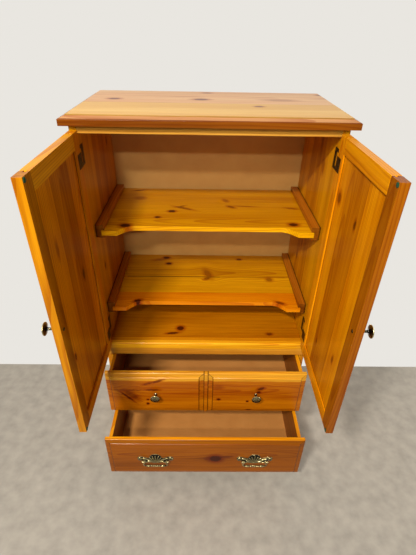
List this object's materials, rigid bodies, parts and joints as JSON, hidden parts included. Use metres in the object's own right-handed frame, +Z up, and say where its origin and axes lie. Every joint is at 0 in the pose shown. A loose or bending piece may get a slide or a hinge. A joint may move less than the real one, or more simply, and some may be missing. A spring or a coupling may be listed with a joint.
{
  "type": "television armoire",
  "caption": "Tall pine media armoire with a pair of panelled doors over pull-out shelves and two drawers, one with knobs and one with bail pulls.",
  "frame": {"origin": "on the floor, under the middle of the base rail that ties the two sides together at the front", "axes": "+X to the right seen from the front, +Y to the back, +Z up"},
  "size_m": [0.78, 0.7841, 1.3343],
  "materials": {
    "top_pine": "satin",
    "edge_pine": "satin",
    "pine": "satin",
    "brown_wood": "satin",
    "runner_wood": "satin",
    "hardboard": "matte",
    "antique_brass": "aged",
    "hinge_bronze": "bronzed"
  },
  "bodies": {
    "cabinet": {"top_panel": "top_pine", "top_moulding_front": "edge_pine", "top_moulding_left": "edge_pine", "top_moulding_right": "edge_pine", "side_left": "pine", "side_right": "pine", "top_rail": "pine", "back_panel": "hardboard", "deck": "pine", "deck_nosing": "pine", "deck_apron": "brown_wood", "base_rail": "brown_wood", "plinth": "pine", "upper_drawer_runner_left": "runner_wood", "upper_shelf_runner_left": "runner_wood", "upper_drawer_runner_right": "runner_wood", "upper_shelf_runner_right": "runner_wood", "lower_drawer_runner_left": "runner_wood", "lower_shelf_runner_left": "runner_wood", "lower_drawer_runner_right": "runner_wood", "lower_shelf_runner_right": "runner_wood", "left_lower_hinge_frame_leaf": "hinge_bronze", "left_upper_hinge_frame_leaf": "hinge_bronze", "right_lower_hinge_frame_leaf": "hinge_bronze", "right_upper_hinge_frame_leaf": "hinge_bronze"},
    "left_door": {"left_door_hinge_stile": "pine", "left_door_free_stile": "pine", "left_door_bottom_rail": "pine", "left_door_top_rail": "pine", "left_door_panel": "pine", "left_door_knob": "antique_brass", "left_lower_hinge_door_leaf": "hinge_bronze", "left_upper_hinge_door_leaf": "hinge_bronze"},
    "right_door": {"right_door_hinge_stile": "pine", "right_door_free_stile": "pine", "right_door_bottom_rail": "pine", "right_door_top_rail": "pine", "right_door_panel": "pine", "right_door_knob": "antique_brass", "right_lower_hinge_door_leaf": "hinge_bronze", "right_upper_hinge_door_leaf": "hinge_bronze"},
    "upper_drawer": {"upper_drawer_front": "pine", "upper_drawer_side_left": "pine", "upper_drawer_side_right": "pine", "upper_drawer_back": "pine", "upper_drawer_bottom": "hardboard", "upper_drawer_knob_left": "antique_brass", "upper_drawer_knob_right": "antique_brass"},
    "lower_drawer": {"lower_drawer_front": "pine", "lower_drawer_side_left": "pine", "lower_drawer_side_right": "pine", "lower_drawer_back": "pine", "lower_drawer_bottom": "hardboard", "left_pull_plate": "antique_brass", "right_pull_plate": "antique_brass"},
    "left_bail": {"left_pull_bail": "antique_brass"},
    "right_bail": {"right_pull_bail": "antique_brass"},
    "upper_shelf": {"upper_shelf": "pine"},
    "lower_shelf": {"lower_shelf": "pine"}
  },
  "joints": [
    {"name": "left_door_hinge", "type": "hinge", "parent": "cabinet", "child": "left_door", "pos_m": [-0.36241, -0.03341, 0.93], "axis": [0, 0, -1], "range_deg": [-90, 20]},
    {"name": "right_door_hinge", "type": "hinge", "parent": "cabinet", "child": "right_door", "pos_m": [0.36241, -0.03341, 0.93], "axis": [0, 0, 1], "range_deg": [-90, 20]},
    {"name": "upper_drawer_slide", "type": "slide", "parent": "cabinet", "child": "upper_drawer", "axis": [0, -1, 0], "range_m": [-0.0906, 0.1894]},
    {"name": "lower_drawer_slide", "type": "slide", "parent": "cabinet", "child": "lower_drawer", "axis": [0, -1, 0], "range_m": [-0.2125, 0.0675]},
    {"name": "upper_shelf_slide", "type": "slide", "parent": "cabinet", "child": "upper_shelf", "axis": [0, -1, 0], "range_m": [0, 0.25]},
    {"name": "lower_shelf_slide", "type": "slide", "parent": "cabinet", "child": "lower_shelf", "axis": [0, -1, 0], "range_m": [0, 0.25]},
    {"name": "left_bail_swing", "type": "hinge", "parent": "lower_drawer", "child": "left_bail", "pos_m": [-0.18325, -0.255, 0.18375], "axis": [-1, 0, 0], "range_deg": [-12, 95]},
    {"name": "right_bail_swing", "type": "hinge", "parent": "lower_drawer", "child": "right_bail", "pos_m": [0.18325, -0.255, 0.18375], "axis": [-1, 0, 0], "range_deg": [-12, 95]}
  ]
}
